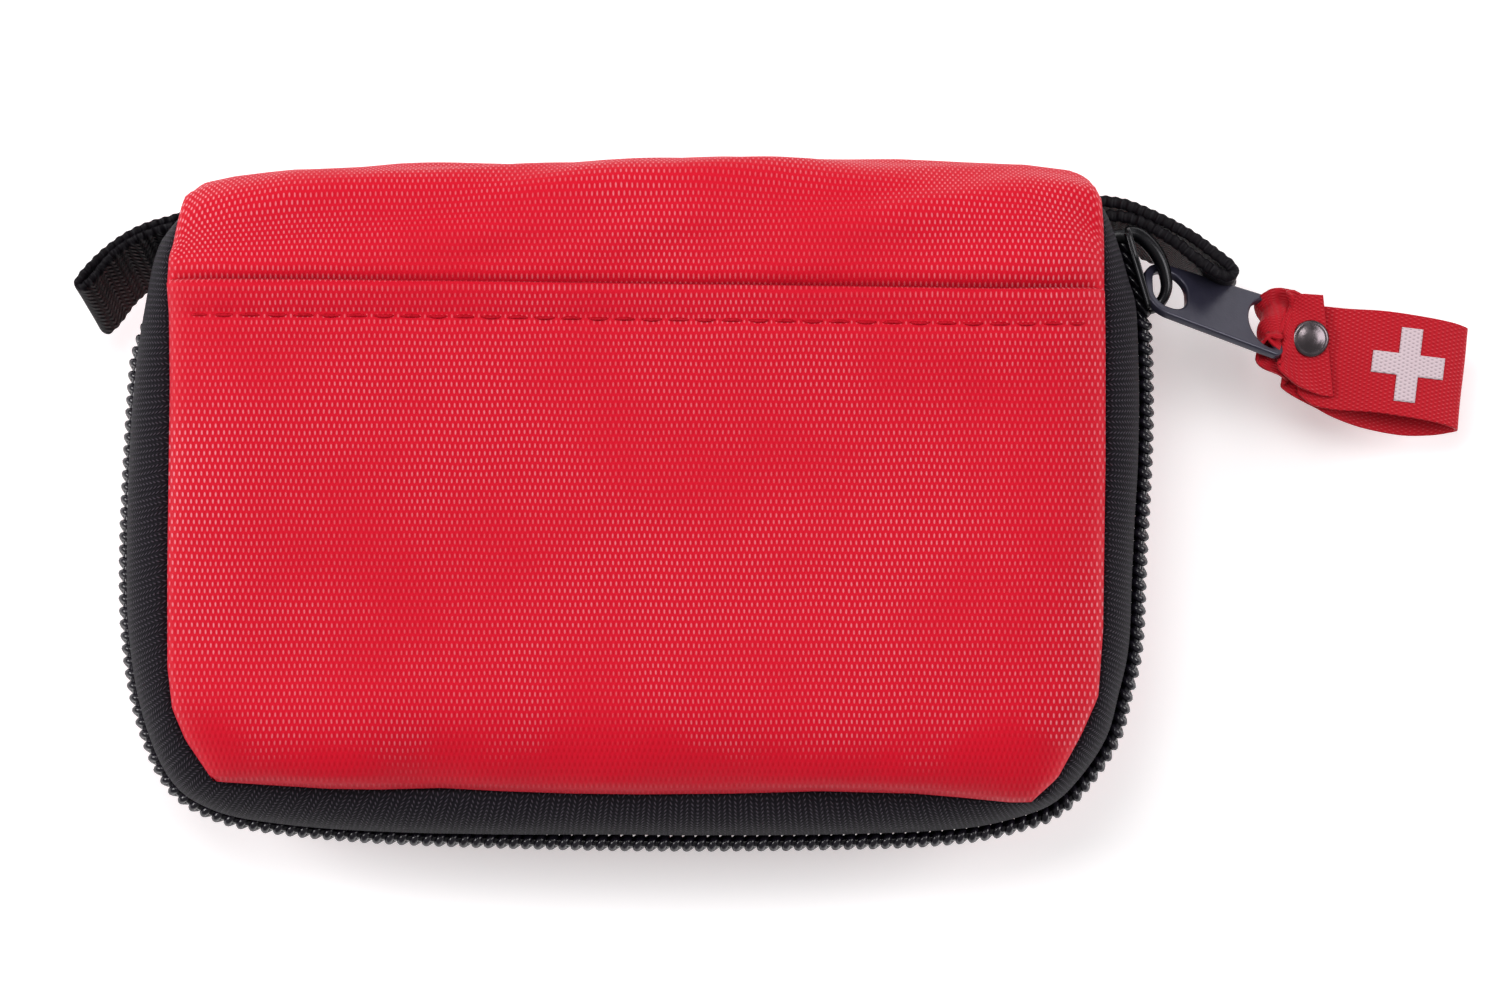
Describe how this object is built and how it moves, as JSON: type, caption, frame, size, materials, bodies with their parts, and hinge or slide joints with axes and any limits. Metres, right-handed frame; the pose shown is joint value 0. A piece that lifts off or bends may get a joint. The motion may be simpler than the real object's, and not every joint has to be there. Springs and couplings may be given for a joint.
{
  "type": "first aid kit",
  "caption": "Soft zipped pouch that opens like a book on a folded spine, with a front slip pocket, webbing loops, a ribbon pull and dressings and tools inside.",
  "frame": {"origin": "centre of the rear face, which lies on the table", "axes": "+X to the right along the spine, +Y towards the spine, +Z out of the front face"},
  "size_m": [0.1764, 0.0847, 0.0366],
  "materials": {
    "shell_cloth": "woven, slight sheen",
    "lining_cloth": "matt",
    "zip_tape": "matt",
    "zip_coil": "gloss",
    "webbing": "woven",
    "mesh": "open mesh",
    "plaster_wrap": "coated",
    "slider_metal": "gloss",
    "tab_metal": "satin",
    "ribbon_cloth": "woven",
    "cross_print": "printed",
    "rivet_metal": "dark nickel",
    "bandage": "gauze",
    "elastic": "ribbed elastic",
    "packet_film": "coated",
    "wipe_film": "coated",
    "steel": "satin",
    "grip_plastic": "gloss"
  },
  "bodies": {
    "rear_half": {"rear_panel": "shell_cloth", "rear_lining": "lining_cloth", "rear_tape": "zip_tape", "rear_coil": "zip_coil", "loop_left": "webbing", "loop_right": "webbing", "bandage_roll_wide": "bandage", "bandage_roll_narrow": "bandage", "elastic_band": "elastic", "gauze_packet": "packet_film", "wipe_packet_lower": "wipe_film", "wipe_packet_upper": "wipe_film", "scissors_blade_fixed": "steel", "scissors_handle_fixed": "grip_plastic", "scissors_pivot": "steel", "tweezers": "steel"},
    "spine": {"spine_panel": "shell_cloth", "spine_lining": "lining_cloth"},
    "cover": {"front_panel": "shell_cloth", "slip_pocket": "shell_cloth", "front_tape": "zip_tape", "front_coil": "zip_coil", "front_lining": "lining_cloth", "mesh_pocket": "mesh", "pocket_binding": "elastic", "plasters_large": "plaster_wrap", "plasters_small": "plaster_wrap"},
    "slider": {"slider_body": "slider_metal", "slider_bridge": "slider_metal"},
    "pull": {"pull_tab": "tab_metal"},
    "ribbon_loop": {"ribbon": "ribbon_cloth", "ribbon_cross": "cross_print", "rivet_cap": "rivet_metal", "rivet_base": "rivet_metal"},
    "scissors_half": {"scissors_blade_moving": "steel", "scissors_handle_moving": "grip_plastic"}
  },
  "joints": [
    {"name": "spine_fold", "type": "hinge", "parent": "rear_half", "child": "spine", "pos_m": [0, 0.0414, 0.0014], "axis": [-1, 0, 0], "range_deg": [0, 90]},
    {"name": "cover_fold", "type": "hinge", "parent": "spine", "child": "cover", "pos_m": [0, 0.0414, 0.0346], "axis": [-1, 0, 0], "range_deg": [0, 90]},
    {"name": "slider_run", "type": "slide", "parent": "rear_half", "child": "slider", "axis": [0, -1, 0], "range_m": [0, 0.04]},
    {"name": "pull_lift", "type": "hinge", "parent": "slider", "child": "pull", "pos_m": [0.0682, 0.028, 0.018], "axis": [0, -1, 0], "range_deg": [0, 30]},
    {"name": "ribbon_swing", "type": "hinge", "parent": "pull", "child": "ribbon_loop", "pos_m": [0.08098, 0.02335, 0.01015], "axis": [0.0804, -0.7948, 0.6016], "range_deg": [0, 40]},
    {"name": "scissors_open", "type": "hinge", "parent": "rear_half", "child": "scissors_half", "pos_m": [0.022, -0.004, 0.0077], "axis": [0, 0, 1], "range_deg": [0, 28]}
  ],
  "couplings": [
    {"joint": "cover_fold", "follows": "spine_fold", "ratio": 1}
  ]
}
